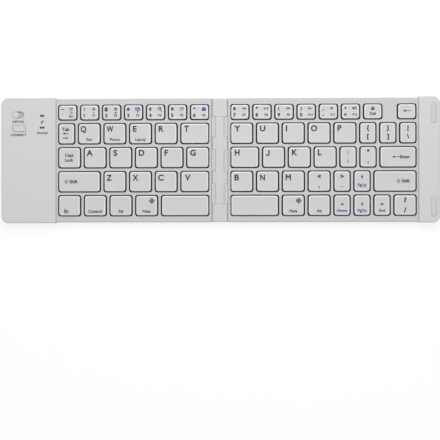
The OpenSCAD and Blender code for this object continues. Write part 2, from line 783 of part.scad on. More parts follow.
module hinge_spine() {
    bore_l = spine_d - 2 * (pin_inset - seat);
    color("silver") difference() {
        intersection() {
            translate([0, spine_d / 2, 0]) rotate([90, 0, 0]) linear_extrude(spine_d) spine_section();
            rotate([90, 0, 90]) linear_extrude(3 * spine_half_w, center = true)
                for (s = [0, 1]) mirror([s, 0])
                    edge_section(spine_d / 2, z_case, deck_top, top_edge_r, bottom_edge_r);
        }
        for (s = [0, 1]) mirror([s, 0, 0]) translate([axis_x, 0, axis_z]) {
            for (i = [-1, 0, 1]) let (l = knuckle_l(i) + knuckle_gap)
                translate([0, knuckle_y(i) + l / 2, 0]) rotate([90, 0, 0]) linear_extrude(l)
                    knuckle_room();
            translate([0, -bore_l / 2, 0]) rotate([-90, 0, 0])
                cylinder(r = pin_r + bore_clear, h = bore_l);
            // Groove that carries the knuckles' inner gap on
            translate([-knuckle_r - knuckle_gap, -groove_y, knuckle_r - groove_depth])
                cube([knuckle_gap, 2 * groove_y, 1]);
        }
        // Cable channel, open downwards, and its two mouths
        translate([-channel_x, -groove_y, z_case - eps])
            cube([2 * channel_x, 2 * groove_y, channel_h]);
        translate([-spine_half_w - 1, -cable_w / 2 - cable_room, z_case + spine_cover_t])
            cube([2 * spine_half_w + 2, cable_w + 2 * cable_room, channel_h - spine_cover_t]);
        // Shallow grooves that set off the two ends
        for (s = [-1, 1])
            translate([-2 * axis_x, s * groove_y - groove_w / 2, deck_top - groove_depth])
                cube([4 * axis_x, groove_w, 1]);
    }
}

module spine_cover() {
    color("lightgray") translate([-channel_x + seat, -groove_y + seat, z_case])
        cube([2 * (channel_x - seat), 2 * (groove_y - seat), spine_cover_t]);
}

module hinge_pins() {
    l = spine_d - 2 * pin_inset;
    color("silver") for (s = [-1, 1]) translate([s * axis_x, -l / 2, axis_z])
        rotate([-90, 0, 0]) cylinder(r = pin_r, h = l);
}

// Flat cable between the halves, laid in a shallow wave so that it can follow the fold
module flex_cable() {
    w = spine_half_w - 2 * bore_clear;
    z = z_case + channel_h - 2 * cable_wave;
    wave = [for (i = [-2:2]) [i * w / 2, z - (i % 2 == 0 ? 0 : cable_wave)]];
    back = [for (i = [4:-1:0]) wave[i] + [0, cable_t]];
    color("peru") translate([0, cable_w / 2, 0]) rotate([90, 0, 0])
        linear_extrude(cable_w) polygon(concat(wave, back));
}

// ---- Right half ----

module bumper_outline(clear) {
    for (s = [-1, 1]) translate([bumper_x, s * bumper_y])
        round_rect(bumper_w + 2 * clear, bumper_l + 2 * clear, bumper_w / 2 + clear - eps);
}

module right_wing_cover() {
    color("lightgray") difference() {
        wing_cover(right_deck_x);
        translate([0, 0, wing_top - bumper_seat]) linear_extrude(bumper_seat + 1) bumper_outline(seat);
    }
}

module right_key_deck() { color("silver") key_deck(right_keys, right_deck_x); }
module right_bottom_case() { color("lightgray") bottom_case(right_deck_x); }

module right_switch_plate() {
    color("darkgray")
        switch_plate(right_keys, edge_x + wall + plate_clear, right_deck_x - plate_clear);
}

module right_membrane() {
    color("dimgray") membrane(edge_x + wall + sheet_inset, right_deck_x - sheet_inset,
        edge_x + 2 * bore_clear, edge_x + wall + 1, 0);
}

module right_rubber_domes() {
    color("gray")
        rubber_domes(right_keys, edge_x + wall + sheet_inset, right_deck_x - sheet_inset);
}

module right_feet() { color("dimgray") feet(1); }

module right_screws() {
    color("silver") for (p = concat(deck_screws(right_deck_x), wing_screws)) screw(p[0], p[1]);
}

module end_bumpers() {
    color("gainsboro") translate([0, 0, wing_top - bumper_seat])
        linear_extrude(bumper_seat + bumper_h) bumper_outline(0);
}

// ---- Nodes ----

left_wing_cover();
left_key_deck();
left_bottom_case();
left_switch_plate();
left_membrane();
left_rubber_domes();
left_feet();
left_screws();
battery();
main_board();
usb_socket();
status_lights();
power_switch_knob();
connect_button();
hinge_spine();
spine_cover();
hinge_pins();
flex_cable();
right_wing_cover();
right_key_deck();
right_bottom_case();
right_switch_plate();
right_membrane();
right_rubber_domes();
right_feet();
right_screws();
end_bumpers();
for (n = single_names) single_key(n);
left_number_keys();
left_modifier_keys();
right_number_keys();
right_side_keys();
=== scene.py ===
# %% [markdown]
# # A folding keyboard
# The construction comes packed: every housing, hinge knuckle and key cap is there at its real
# size, and moves with its own body. What is left for Blender is what the eye meets: soft key
# caps, printed legends, the grain of moulded plastic, and light. The frame is loaded first, so
# that each new piece takes its place from it.

# %% The frame
import json
import math

import bmesh
import bpy
import numpy as np
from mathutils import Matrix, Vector

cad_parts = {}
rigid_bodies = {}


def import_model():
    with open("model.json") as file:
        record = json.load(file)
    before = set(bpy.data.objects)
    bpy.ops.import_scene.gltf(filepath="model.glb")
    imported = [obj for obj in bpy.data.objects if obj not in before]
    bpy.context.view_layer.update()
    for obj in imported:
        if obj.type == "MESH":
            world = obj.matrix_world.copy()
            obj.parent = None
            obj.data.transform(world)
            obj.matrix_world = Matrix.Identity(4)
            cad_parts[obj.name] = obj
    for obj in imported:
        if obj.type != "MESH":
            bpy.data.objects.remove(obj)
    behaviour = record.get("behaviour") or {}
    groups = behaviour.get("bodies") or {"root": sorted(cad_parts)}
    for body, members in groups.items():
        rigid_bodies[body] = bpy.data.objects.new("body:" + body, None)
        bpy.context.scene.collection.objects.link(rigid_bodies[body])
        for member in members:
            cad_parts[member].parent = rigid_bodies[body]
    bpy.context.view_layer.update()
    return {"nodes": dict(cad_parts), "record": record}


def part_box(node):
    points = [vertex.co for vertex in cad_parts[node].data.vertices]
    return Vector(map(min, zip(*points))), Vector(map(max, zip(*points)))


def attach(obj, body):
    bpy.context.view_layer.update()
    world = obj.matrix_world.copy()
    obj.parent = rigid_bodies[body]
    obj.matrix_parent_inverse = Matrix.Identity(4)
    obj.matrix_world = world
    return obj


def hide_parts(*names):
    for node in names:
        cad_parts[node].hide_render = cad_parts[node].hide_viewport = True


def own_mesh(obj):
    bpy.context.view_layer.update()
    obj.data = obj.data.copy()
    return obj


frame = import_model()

scene = bpy.context.scene
nodes = frame["nodes"]
bodies = frame["record"]["behaviour"]["bodies"]
body_of_node = {node: body for body, members in bodies.items() for node in members}
MM = 0.001

# %% [markdown]
# ## Finding the caps
# Most keys are nodes of their own, but the number row and the modifiers come as groups of caps
# in one node. Their corners could be listed here, but then two lists would have to agree.
# Instead a node's triangles are sorted into rows and columns: where their spans along an axis
# leave a gap, one cap ends and the next begins.

# %% Caps from the triangles
NEXT_CAP = 0.1 * MM  # a wider gap than this parts two caps
GROUPED = {
    "left_number_keys": "grave 1 2 3 4 5 6",
    "left_modifier_keys": "tab caps_lock left_shift fn control left_alt left_meta",
    "right_number_keys": "7 8 9 0 minus equals delete backspace",
    "right_side_keys": "left_bracket right_bracket backslash semicolon quote comma period up "
                       "right_shift right_meta right_alt left down right slash",
}


def triangles(node):
    """Corners of a node's triangles as one array, triangle by corner by axis."""
    mesh = nodes[node].data
    mesh.calc_loop_triangles()
    points = np.empty(len(mesh.vertices) * 3, np.float32)
    mesh.vertices.foreach_get("co", points)
    corners = np.empty(len(mesh.loop_triangles) * 3, np.int32)
    mesh.loop_triangles.foreach_get("vertices", corners)
    return points.reshape(-1, 3)[corners].reshape(-1, 3, 3).astype(float)


def spans(low, high):
    """Group number of each span from low to high. In order of their low ends, a new group
    starts where a span begins beyond everything that the spans before it reached."""
    order = np.argsort(low)
    reached = np.maximum.accumulate(high[order])
    fresh = np.concatenate([[False], low[order][1:] > reached[:-1] + NEXT_CAP])
    group = np.empty(len(low), int)
    group[order] = np.cumsum(fresh)
    return group


def cap_boxes(node):
    """Corner pairs of a node's caps, rows from the back to the user and left to right."""
    tris = triangles(node)
    low, high = tris.min(1), tris.max(1)
    row = spans(-high[:, 1], -low[:, 1])
    boxes = []
    for r in range(row.max() + 1):
        members = np.flatnonzero(row == r)
        column = spans(low[members, 0], high[members, 0])
        for c in range(column.max() + 1):
            chosen = members[column == c]
            boxes.append((low[chosen].min(0), high[chosen].max(0)))
    return boxes


caps = {}
caps_of_node = {}
for body, members in bodies.items():
    if body.startswith("cap_"):
        node = members[0]
        names = GROUPED[node].split() if node in GROUPED else [node.removeprefix("key_")]
        caps.update(zip(names, cap_boxes(node)))
        caps_of_node[node] = names
print(len(caps), "caps in", len(caps_of_node), "nodes")

# %% [markdown]
# ## Closed surfaces on a grid
# A cap, a bumper and most moulded pieces are a profile carried round an outline. Both are rows
# of numbers, so the whole surface is worked out as one array: rings of points, one ring for
# each step of the profile. Two poles close it, one on top and one below.

# %% Rings, outlines and meshes
CORNER_STEPS, SIDE_STEPS = 8, 8
LARGEST_R = 0.999  # share of half a side that a corner may take
SHARP_EDGE = math.radians(35)


def rounded_outline(width, depth, radius):
    """Points round a rectangle with round corners, centred, as an array of x and y. Each corner
    is a quarter circle about a centre one radius in from both sides, and each straight side is
    divided evenly, so that a dished face has points to bend at."""
    radius = min(radius, width / 2 * LARGEST_R, depth / 2 * LARGEST_R)
    reach_x, reach_y = width / 2 - radius, depth / 2 - radius
    quarter = np.linspace(0, math.pi / 2, CORNER_STEPS + 1)
    corners = []
    for k, (way_x, way_y) in enumerate(((1, 1), (-1, 1), (-1, -1), (1, -1))):
        angle = quarter + k * math.pi / 2
        corners.append(np.column_stack([way_x * reach_x + radius * np.cos(angle),
                                        way_y * reach_y + radius * np.sin(angle)]))
    share = np.linspace(0, 1, SIDE_STEPS + 1)[1:-1, None]
    full = []
    for corner, following in zip(corners, corners[1:] + corners[:1]):
        full += [corner, corner[-1] + share * (following[0] - corner[-1])]
    return np.concatenate(full)


def bar(x0, y0, x1, y1):
    """Corners of an upright rectangle."""
    return np.array([[x0, y0], [x1, y0], [x1, y1], [x0, y1]])


def disc(x, y, radius, steps=20):
    """Points round a circle."""
    angle = np.linspace(0, 2 * math.pi, steps, endpoint=False)
    return np.column_stack([x + radius * np.cos(angle), y + radius * np.sin(angle)])


def centre_of(low, high):
    """The middle between two corners, seen from above."""
    return np.mean([low, high], axis=0)[:2]


def closed_rings(rings, top, bottom):
    """Points and faces of a closed surface: quads between each ring and the next, and a fan of
    triangles from each pole to its nearest ring. Rings run from the top pole to the bottom one,
    anticlockwise from above, so that every face looks outwards."""
    rows, columns = rings.shape[:2]
    points = np.concatenate([rings.reshape(-1, 3), [top, bottom]])
    index = np.arange(rows * columns).reshape(rows, columns)
    after = np.roll(index, -1, axis=1)
    quads = np.stack([index[:-1], index[1:], after[1:], after[:-1]], 2).reshape(-1, 4)
    crown = np.stack([np.full(columns, rows * columns), index[0], after[0]], 1)
    sole = np.stack([np.full(columns, rows * columns + 1), after[-1], index[-1]], 1)
    return points, quads.tolist() + crown.tolist() + sole.tolist()


def merged(parts):
    """Several (points, faces) pairs as one, with the faces' numbers moved on."""
    points = np.concatenate([p for p, _ in parts])
    starts = np.cumsum([0] + [len(p) for p, _ in parts[:-1]])
    faces = [[i + int(s) for i in face] for (_, fs), s in zip(parts, starts) for face in fs]
    return points, faces


def piece(name, points, faces, material, body, slot):
    """A finished piece: a mesh at the origin with its place in its points, smooth but for its
    sharp edges, riding on its body."""
    mesh = bpy.data.meshes.new(name)
    mesh.from_pydata(points.tolist(), [], faces)
    mesh.polygons.foreach_set("use_smooth", np.ones(len(mesh.polygons), bool))
    mesh.set_sharp_from_angle(angle=SHARP_EDGE)
    mesh.materials.append(material)
    mesh.validate()
    item = bpy.data.objects.new(name, mesh)
    scene.collection.objects.link(item)
    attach(item, body)
    return item


print(4 * (CORNER_STEPS + SIDE_STEPS), "points round each rounded outline")

# %% [markdown]
# ## Wiring a finish
# A finish could be an image, but an image has one resolution. Nodes work it out at every point
# instead. A few helpers wire them, whose sources are numbers, colours or other nodes' outputs.

# %% Helpers for node trees


def feed(tree, socket, source):
    """Link a socket to its source, or set it where the source is a number or a colour."""
    if isinstance(source, bpy.types.NodeSocket):
        tree.links.new(source, socket)
    else:
        socket.default_value = source


def maths(tree, operation, *sources):
    """What a Math node makes of its sources."""
    node = tree.nodes.new("ShaderNodeMath")
    node.operation = operation
    for socket, source in zip(node.inputs, sources):
        feed(tree, socket, source)
    return node.outputs[0]


def mixed(tree, factor, first, second):
    """The colour from first to second at a factor from 0 to 1."""
    node = tree.nodes.new("ShaderNodeMix")
    node.data_type = "RGBA"
    tree.links.new(factor, node.inputs["Factor"])
    for label, source in (("A", first), ("B", second)):
        feed(tree, next(s for s in node.inputs if s.name == label and s.type == "RGBA"), source)
    return next(s for s in node.outputs if s.type == "RGBA")


def object_place(tree):
    """Object coordinates: in metres, so that grain has a real size, and fixed to the piece."""
    return tree.nodes.new("ShaderNodeTexCoord").outputs["Object"]


def noise(tree, coordinates, scale, detail=2.0):
    """A noise with so many grains to the metre."""
    node = tree.nodes.new("ShaderNodeTexNoise")
    tree.links.new(coordinates, node.inputs["Vector"])
    feed(tree, node.inputs["Scale"], scale)
    node.inputs["Detail"].default_value = detail
    return node.outputs["Fac"]


def spread(tree, value, amount, middle):
    """middle + amount * (2 * value - 1), for a value that drifts about a half."""
    return maths(tree, "MULTIPLY_ADD", maths(tree, "MULTIPLY_ADD", value, 2, -1), amount, middle)


def bumped(tree, height, strength, distance):
    """The normal of a surface that rises by height times distance, at that strength."""
    node = tree.nodes.new("ShaderNodeBump")
    node.inputs["Distance"].default_value = distance
    feed(tree, node.inputs["Strength"], strength)
    tree.links.new(height, node.inputs["Height"])
    return node.outputs[0]


def new_material(name):
    """A material with only a Principled BSDF, its node tree and that shader."""
    material = bpy.data.materials.new(name)
    material.use_nodes = True
    return material, material.node_tree, material.node_tree.nodes["Principled BSDF"]


def grey(level):
    """A neutral colour from a display value v of 0 to 255, made linear: with c = v / 255, it is
    c / 12.92 up to c = 0.04045 and ((c + 0.055) / 1.055) to the power 2.4 above."""
    c = level / 255
    linear = c / 12.92 if c <= 0.04045 else ((c + 0.055) / 1.055) ** 2.4
    return (linear, linear, linear, 1)


print("grey 200 is", round(grey(200)[0], 3), "in linear light")

# %% [markdown]
# ## Moulded surfaces
# Nearly everything here is moulded: housings, caps, knobs, feet. Moulded plastic is never one
# flat colour. The tool leaves a fine grain in the surface, the pigment drifts a little from
# place to place, and the gloss drifts with it. Each material could wire that for itself. One
# node group keeps them alike, and each material sets only its own colour, gloss and grain.

# %% A node group for moulded surfaces
PIGMENT_SCALE = 45.0
GLOSS_DRIFT = 0.05
GRAIN_HEIGHT = 0.02 * MM
GROUP_SOCKETS = {
    "INPUT": {"Colour": "Color", "Drift": "Float", "Roughness": "Float",
              "Grain per metre": "Float", "Grain depth": "Float"},
    "OUTPUT": {"Colour": "Color", "Roughness": "Float", "Normal": "Vector"},
}


def moulded_group():
    """Colour times a slow drift, roughness plus the same drift, and a bump of fine grain."""
    tree = bpy.data.node_groups.new("moulded_surface", "ShaderNodeTree")
    for in_out, sockets in GROUP_SOCKETS.items():
        for label, kind in sockets.items():
            tree.interface.new_socket(label, in_out=in_out, socket_type="NodeSocket" + kind)
    given = tree.nodes.new("NodeGroupInput").outputs
    result = tree.nodes.new("NodeGroupOutput").inputs
    place = object_place(tree)
    slow = noise(tree, place, PIGMENT_SCALE)
    grain = noise(tree, place, given["Grain per metre"], detail=1.0)
    tint = tree.nodes.new("ShaderNodeVectorMath")
    tint.operation = "SCALE"
    tree.links.new(given["Colour"], tint.inputs[0])
    tree.links.new(spread(tree, slow, given["Drift"], 1.0), tint.inputs["Scale"])
    tree.links.new(tint.outputs[0], result["Colour"])
    tree.links.new(spread(tree, slow, GLOSS_DRIFT, given["Roughness"]), result["Roughness"])
    tree.links.new(bumped(tree, grain, given["Grain depth"], GRAIN_HEIGHT), result["Normal"])
    return tree


MOULDED = moulded_group()


def moulded(name, colour, roughness, grain=3000.0, depth=0.15, drift=0.02):
    """A moulded material. Its colour is a colour, or a function that wires one into a tree."""
    material, tree, shader = new_material(name)
    node = tree.nodes.new("ShaderNodeGroup")
    node.node_tree = MOULDED
    if callable(colour):
        colour = colour(tree)
    for label, source in (("Colour", colour), ("Drift", drift), ("Roughness", roughness),
                          ("Grain per metre", grain), ("Grain depth", depth)):
        feed(tree, node.inputs[label], source)
    tree.links.new(node.outputs["Colour"], shader.inputs["Base Color"])
    tree.links.new(node.outputs["Roughness"], shader.inputs["Roughness"])
    tree.links.new(node.outputs["Normal"], shader.inputs["Normal"])
    return material


print(MOULDED.name, "has", len(MOULDED.nodes), "nodes")

# %% [markdown]
# ## The palette
# The housings, the deck and the caps are one pale grey with a breath of difference. A cap's
# rounded edge gets a painted highlight, lighter than its face, so its mesh carries an attribute,
# rim, that is 1 on the rounded edge and 0 elsewhere, and the material mixes by it.
# Narrow seams get painted shade, darker than their width makes them, and so do the parts below
# the mouths of the switch and the button. They need no attribute: one band of Object coordinates
# says where the seam beside the spine runs, another what lies below those mouths.

# %% Plastics, rubber and ink
SEAM_W = 0.25 * MM  # from the spine to the decks
SEAM_EASE = 0.01 * MM  # takes in the seam's walls
SEAM_FROM, SEAM_TO = 0.05 * MM, 0.8 * MM  # below the spine's top
MOUTH_DEPTH = 0.5 * MM  # below the raised end's top


def between(tree, value, low, high):
    """1 where the value lies from low to high, 0 elsewhere."""
    return maths(tree, "COMPARE", value, (low + high) / 2, (high - low) / 2)


def painted_shade_band(level, shade_level, heights, sides=(0, 1)):
    """A function that wires one grey, or a darker painted shade where the height is within heights
    and the distance from the middle plane X = 0 is within sides."""
    def colour(tree):
        split = tree.nodes.new("ShaderNodeSeparateXYZ")
        tree.links.new(object_place(tree), split.inputs[0])
        beside = between(tree, maths(tree, "ABSOLUTE", split.outputs["X"]), *sides)
        below = between(tree, split.outputs["Z"], *heights)
        return mixed(tree, maths(tree, "MULTIPLY", beside, below), grey(level), grey(shade_level))
    return colour


def painted_rim_highlight(tree):
    """The face's grey and the rim's lighter grey, a painted highlight, mixed by the rim attribute.
    """
    rim = tree.nodes.new("ShaderNodeAttribute")
    rim.attribute_name = "rim"
    return mixed(tree, rim.outputs["Fac"], grey(209), grey(240))


spine_corner, wing_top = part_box("hinge_spine")[1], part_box("left_wing_cover")[1].z
seam_x = (spine_corner.x - SEAM_EASE, spine_corner.x + SEAM_W + SEAM_EASE)
seam_z = (spine_corner.z - SEAM_TO, spine_corner.z - SEAM_FROM)
mouth_z = (0, wing_top - MOUTH_DEPTH)
case_plastic = moulded("case_plastic", grey(213), 0.5)
# the deck and the spine get painted shade in the seam between them
deck_plastic = moulded("deck_plastic", painted_shade_band(204, 80, seam_z, seam_x), 0.52)
spine_plastic = moulded("spine_plastic", painted_shade_band(209, 100, seam_z, seam_x), 0.5)
# the knob and the button get painted shade below the mouths of their openings
control_plastic = moulded("control_plastic", painted_shade_band(211, 186, mouth_z), 0.45)
# the caps' rounded edges carry a painted highlight
cap_plastic = moulded("cap_plastic", painted_rim_highlight, 0.42, depth=0.1)
foot_rubber = moulded("foot_rubber", grey(70), 0.8, grain=1800, depth=0.4)
pad_rubber = moulded("pad_rubber", grey(208), 0.75, grain=2200, depth=0.3)
dome_rubber = moulded("dome_rubber", grey(38), 0.7, grain=1500, depth=0.3)
film = moulded("membrane_film", grey(45), 0.3, grain=400, depth=0.2)
cable_film = moulded("cable_film", (0.35, 0.15, 0.03, 1), 0.35, grain=400)
light_pipe = moulded("light_pipe", grey(222), 0.25, grain=900, depth=0.05)
dark_ink = moulded("dark_ink", grey(40), 0.6, grain=5000, depth=0.1, drift=0.08)
blue_ink = moulded("blue_ink", (0.045, 0.05, 0.26, 1), 0.6, grain=5000, drift=0.08)
print(len(bpy.data.materials), "materials so far")

# %% [markdown]
# ## Metal, foil and laminate
# The plate, the pins, the screws and the socket are steel, which shows fine lines along the way
# it was rolled. They are too fine for a mesh, so they are a noise stretched along X. The
# battery is a crinkled foil pouch, and the board green laminate with a web of copper tracks.

# %% Steel, foil and board
STEEL_STRETCH = (0.05, 1, 1)
STEEL_LINES, LINE_HEIGHT = 4000.0, 0.01 * MM
TRACK_CELLS, TRACK_W = 400.0, 0.08  # cells to the metre, and a track's share of a cell


def stretched_steel(name, level, roughness):
    """Steel whose roughness and bump follow a noise that is stretched along X."""
    material, tree, shader = new_material(name)
    shader.inputs["Metallic"].default_value = 1.0
    shader.inputs["Base Color"].default_value = grey(level)
    stretch = tree.nodes.new("ShaderNodeMapping")
    stretch.inputs["Scale"].default_value = STEEL_STRETCH
    tree.links.new(object_place(tree), stretch.inputs["Vector"])
    lines = noise(tree, stretch.outputs[0], STEEL_LINES)
    tree.links.new(spread(tree, lines, 0.15, roughness), shader.inputs["Roughness"])
    tree.links.new(bumped(tree, lines, 0.2, LINE_HEIGHT), shader.inputs["Normal"])
    return material


def laminate(name):
    """Board laminate: Voronoi cell edges, thin and lighter, on dark green."""
    material, tree, shader = new_material(name)
    shader.inputs["Roughness"].default_value = 0.35
    cells = tree.nodes.new("ShaderNodeTexVoronoi")
    cells.feature = "DISTANCE_TO_EDGE"
    cells.inputs["Scale"].default_value = TRACK_CELLS
    tree.links.new(object_place(tree), cells.inputs["Vector"])
    track = maths(tree, "LESS_THAN", cells.outputs["Distance"], TRACK_W)
    colour = mixed(tree, track, (0.01, 0.09, 0.03, 1), (0.03, 0.2, 0.06, 1))
    tree.links.new(colour, shader.inputs["Base Color"])
    return material


plate_steel = stretched_steel("plate_steel", 150, 0.35)
pin_steel = stretched_steel("pin_steel", 190, 0.25)
foil = moulded("battery_foil", grey(190), 0.35, grain=500, depth=0.9)
foil.node_tree.nodes["Principled BSDF"].inputs["Metallic"].default_value = 0.9
board = laminate("board_laminate")
print(len(bpy.data.materials), "materials with the metals and the board")

# %% [markdown]
# ## Dressing the construction
# Housings, deck, spine and what is inside already have the right shape, so they only change
# their material. The table goes from a material to the nodes that wear it.

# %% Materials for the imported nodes
WEARS = {
    case_plastic: "left_wing_cover left_bottom_case right_wing_cover right_bottom_case "
                  "spine_cover",
    spine_plastic: "hinge_spine",
    deck_plastic: "left_key_deck right_key_deck",
    cap_plastic: " ".join(caps_of_node),
    control_plastic: "power_switch_knob connect_button",
    plate_steel: "left_switch_plate right_switch_plate",
    pin_steel: "hinge_pins left_screws right_screws usb_socket",
    film: "left_membrane right_membrane",
    dome_rubber: "left_rubber_domes right_rubber_domes",
    foot_rubber: "left_feet right_feet",
    pad_rubber: "end_bumpers",
    foil: "battery",
    board: "main_board",
    light_pipe: "status_lights",
    cable_film: "flex_cable",
}
for material, names in WEARS.items():
    for name in names.split():
        for slot in nodes[name].material_slots:
            slot.material = material
print(len(" ".join(WEARS.values()).split()), "nodes dressed")

# %% [markdown]
# ## Key caps
# A cap is a thin shell: a face that is dished by about a tenth of a millimetre to hold the
# fingertip, a rounded edge, a skirt, and inside it a hollow with a stem that presses the dome.
# It could be a bevelled cube, but the dish and the stem would still need making. As a profile
# carried round its outline it is one closed surface, and the same function also tells a legend
# how high the face is under it. From right above, a well is only a dark line round its cap,
# whose width sets how dark it looks. So the caps here are a little narrower.

# %% The cap's surface
CAP_CORNER_R = 1.53 * MM
CAP_EDGE_R = 0.8 * MM
CAP_WALL = 0.9 * MM
CAP_DISH = 0.14 * MM
DISH_POWER = 0.7  # below 1, it widens the dish's floor
CAP_SIDE_IN = 0.2 * MM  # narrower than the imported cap, on its left and on its right
STEM_R = 1.2 * MM
STEM_STANDS_OUT = 0.1 * MM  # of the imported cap, below its skirt
DOME_ROOM = 0.5 * MM  # from there up to the stem's foot here, so that a pressed dome has room
FACE_SHARES = (0.2, 0.4, 0.6, 0.8, 0.94, 1.0)  # of the way from the face's middle to its edge
EDGE_STEPS = 6
RIM_POWER = 6  # how late the rim's painted highlight falls off towards the side


def face_drop(x, y, width, depth):
    """How far a cap's face lies below its edge: the dish times a cosine across the width times a
    cosine across the depth, which is full in the middle and nothing at the rounded edge."""
    half_w, half_d = width / 2 - CAP_EDGE_R, depth / 2 - CAP_EDGE_R
    across = np.cos(np.clip(x / half_w, -1, 1) * math.pi / 2)
    along = np.cos(np.clip(y / half_d, -1, 1) * math.pi / 2)
    return CAP_DISH * (across * along) ** DISH_POWER


def cap_size(low, high):
    """Width and depth of the cap made here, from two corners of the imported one."""
    return high[0] - low[0] - 2 * CAP_SIDE_IN, high[1] - low[1]


def cap_surface(low, high):
    """Rings of a cap from its middle outwards, over the edge, down the skirt and up inside to
    the stem. The third result is the rim mask of the painted highlight, one value a point."""
    width, depth = cap_size(low, high)
    skirt, top = low[2] + STEM_STANDS_OUT, high[2]
    ceiling, stem_foot = top - CAP_WALL, low[2] + DOME_ROOM
    centre = centre_of(low, high)
    flat = rounded_outline(width - 2 * CAP_EDGE_R, depth - 2 * CAP_EDGE_R,
                           CAP_CORNER_R - CAP_EDGE_R)
    rings, mask = [], []

    def ring(xy, z, highlight=0.0):
        rings.append(np.column_stack([xy + centre, np.broadcast_to(z, len(xy))]))
        mask.append(np.full(len(xy), highlight))

    for share in FACE_SHARES:
        xy = flat * share
        ring(xy, top - face_drop(xy[:, 0], xy[:, 1], width, depth))
    for angle in np.linspace(0, math.pi / 2, EDGE_STEPS + 1)[1:]:
        inset = CAP_EDGE_R * (1 - math.sin(angle))
        xy = rounded_outline(width - 2 * inset, depth - 2 * inset, CAP_CORNER_R - inset)
        # the painted highlight on the rounded edge: full near the face, gone at the side
        highlight = 1 - (angle / (math.pi / 2)) ** RIM_POWER
        ring(xy, top - CAP_EDGE_R * (1 - math.cos(angle)), highlight)
    outer = rounded_outline(width, depth, CAP_CORNER_R)
    inner = rounded_outline(width - 2 * CAP_WALL, depth - 2 * CAP_WALL, CAP_CORNER_R - CAP_WALL)
    stem = STEM_R * inner / np.linalg.norm(inner, axis=1)[:, None]
    for xy, z in ((outer, skirt), (inner, skirt), (inner, ceiling), (stem, ceiling),
                  (stem, stem_foot)):
        ring(xy, z)
    poles = [*centre, top - CAP_DISH], [*centre, stem_foot]
    points, faces = closed_rings(np.array(rings), *poles)
    return points, faces, np.concatenate(mask + [[0.0, 0.0]])


print("a letter's cap has", len(cap_surface(*caps["q"])[0]), "points")

# %% [markdown]
# ## Every cap in its place
# The caps of a node could be an object each, but they move as one, so they are one piece in
# the imported node's place. The rim mask of the painted highlight goes along as an attribute of
# its points.

# %% One piece for each node of caps
for node, names in caps_of_node.items():
    shells = [cap_surface(*caps[name]) for name in names]
    points, faces = merged([shell[:2] for shell in shells])
    item = piece("cap_" + node.removeprefix("key_"), points, faces, cap_plastic,
                 body_of_node[node], "key_plastic")
    rim_highlight_values = item.data.attributes.new("rim", "FLOAT", "POINT")
    rim_highlight_values.data.foreach_set("value", np.concatenate([shell[2] for shell in shells]))
    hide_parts(node)
print(len(caps_of_node), "pieces of caps")

# %% [markdown]
# ## Rubber domes
# Each key comes back up on a hollow dome of rubber, which buckles under the stem. Moulded in one
# with the sheet that it stands on, it would stay stiff while the stem goes through it. Shape
# keys could flatten it, but nothing would move them. So the domes of each node's keys are a piece
# of their own, which stands on the sheet of its half.

# %% Domes, one piece for the keys of each node
SHEET_T = 0.2 * MM
DOME_FOOT_R, DOME_CROWN_R = 2.8 * MM, 1.7 * MM
DOME_WALL = 0.7 * MM
DOME_CLEAR = 0.05 * MM  # under the stem
DOME_STEPS = 24
joint_of = {joint["child"]: joint for joint in frame["record"]["behaviour"]["joints"]}


def dome_surface(middle, foot, crown):
    """A hollow dome as circles about its middle. Their radii and heights are its profile, from
    the crown down a straight side to the foot, and from there up inside to the ceiling."""
    inner_foot, inner_crown = DOME_FOOT_R - DOME_WALL, DOME_CROWN_R - DOME_WALL
    radius = np.array([inner_crown, DOME_CROWN_R, DOME_FOOT_R, inner_foot, inner_crown])
    height = np.array([crown, crown, foot, foot, crown - DOME_WALL])
    flat = middle + radius[:, None, None] * disc(0, 0, 1, DOME_STEPS)
    lifted = np.broadcast_to(height[:, None, None], flat.shape[:2] + (1,))
    rings = np.concatenate([flat, lifted], 2)
    return closed_rings(rings, [*middle, crown], [*middle, crown - DOME_WALL])


def flat_sheet(low, high):
    """A plain sheet from its low corner to its high one: four corners at each of two heights."""
    corners = bar(low[0], low[1], high[0], high[1])
    rings = np.array([np.column_stack([corners, np.full(4, z)]) for z in (high[2], low[2])])
    middle = centre_of(low, high)
    return closed_rings(rings, [*middle, high[2]], [*middle, low[2]])


for side in ("left", "right"):
    low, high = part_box(side + "_rubber_domes")
    foot = low[2] + SHEET_T
    sheet = piece(side + "_rubber_sheet", *flat_sheet(low, (high[0], high[1], foot)),
                  dome_rubber, side + "_half", "dome_rubber")
    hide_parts(side + "_rubber_domes")
    for node, names in caps_of_node.items():
        joint = joint_of[body_of_node[node]]
        if joint["parent"] != side + "_half":
            continue
        crown = caps[names[0]][0][2] + DOME_ROOM - DOME_CLEAR
        domes = merged([dome_surface(centre_of(*caps[name]), foot, crown)
                        for name in names])
        item = piece("dome_" + node.removeprefix("key_"), *domes, dome_rubber,
                     side + "_half", "dome_rubber")
        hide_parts(side + "_rubber_domes")
        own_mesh(item)
    print(side, "domes", round((crown - foot) / MM, 2), "mm high")

# %% [markdown]
# ## Print
# Legends are ink, laid on by a pad: a film of a few hundredths of a millimetre that follows
# the dish. An image would blur close by, so letters and signs are flat curves first. A text
# curve fills itself, and a sign is a few polygons, where one inside another cuts a hole.
# Extruded a little and made a mesh, each point then moves to the height of the surface there.

# %% Flat curves to closed film
INK_ABOVE = 0.012 * MM
INK_BELOW = 0.04 * MM
FILM_HALF = 0.01  # half the curve's own thickness, which only tells its two sides apart
WELD = 1e-5
WORD_WEIGHT, SMALL_WEIGHT, SIGN_WEIGHT = 0.035, 0.055, 0.06
SMALL_PRINT = 3.0  # mm; a single character lower than this gets the small weight
WIDEST = 1.25  # width of a single character, in heights


